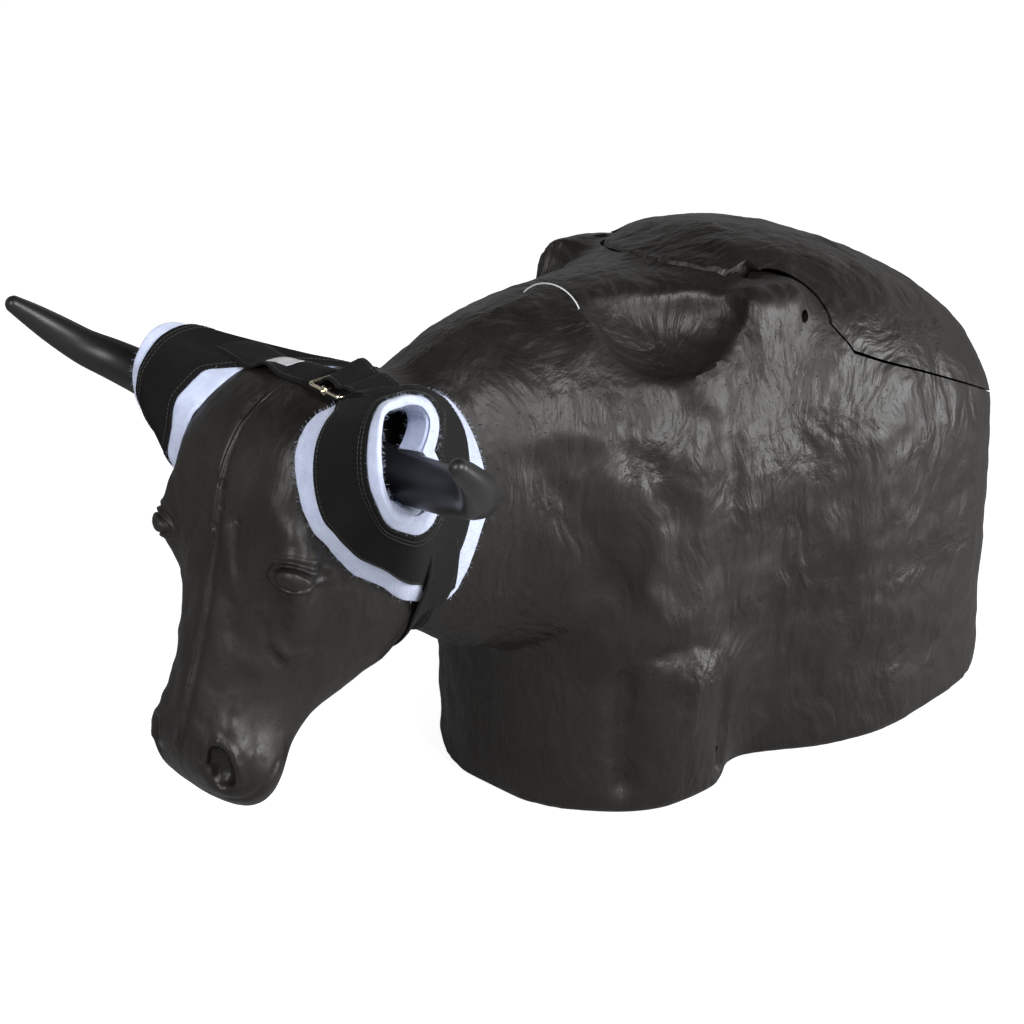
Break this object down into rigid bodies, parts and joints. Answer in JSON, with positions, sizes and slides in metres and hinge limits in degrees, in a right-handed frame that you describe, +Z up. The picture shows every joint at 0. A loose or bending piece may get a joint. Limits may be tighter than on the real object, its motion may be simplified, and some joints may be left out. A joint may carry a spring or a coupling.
{
  "type": "roping practice steer with horn wraps",
  "caption": "Hollow plastic practice steer with a hinged rump lid, bolted curved horns, and felt-lined webbing horn wraps buckled over the poll.",
  "frame": {"origin": "centre of the bounding box's plan, on the floor that the base stands on", "axes": "-X is where the nose points, +X the rump, +Z up, -Y the animal's left side"},
  "size_m": [1.1493, 0.6604, 0.5796],
  "materials": {
    "body_plastic": "satin black, moulded hair strokes",
    "horn_plastic": "satin black",
    "bush_plastic": "natural white",
    "zinc_steel": "zinc plated",
    "felt": "thick pressed felt, pale blue-white",
    "black_webbing": "ribbed woven webbing, black",
    "buckle_metal": "pale gold plated wire",
    "label_cloth": "plain woven label",
    "clear_cord": "thin clear cord"
  },
  "bodies": {
    "dummy": {"body_shell": "body_plastic", "hinge_rod": "zinc_steel", "left_hinge_bush": "bush_plastic", "right_hinge_bush": "bush_plastic", "rod_washers": "zinc_steel", "left_horn": "horn_plastic", "right_horn": "horn_plastic", "horn_bolts": "zinc_steel", "horn_washers": "zinc_steel", "left_felt_liner": "felt", "right_felt_liner": "felt", "left_webbing_cover": "black_webbing", "right_webbing_cover": "black_webbing", "crown_strap": "black_webbing", "buckle_strap": "black_webbing", "buckle_bar": "buckle_metal", "throat_strap": "black_webbing", "crown_label": "label_cloth", "tag_loop": "clear_cord"},
    "lid": {"rump_lid": "body_plastic", "left_lid_bush": "bush_plastic", "right_lid_bush": "bush_plastic"},
    "buckle": {"buckle_frame": "buckle_metal"}
  },
  "joints": [
    {"name": "lid_hinge", "type": "hinge", "parent": "dummy", "child": "lid", "pos_m": [0.15616, 0, 0.51676], "axis": [0, -1, 0], "range_deg": [0, 40]},
    {"name": "buckle_tilt", "type": "hinge", "parent": "dummy", "child": "buckle", "pos_m": [-0.39655, -0.06, 0.55278], "axis": [1, 0, 0], "range_deg": [-8, 6]}
  ]
}
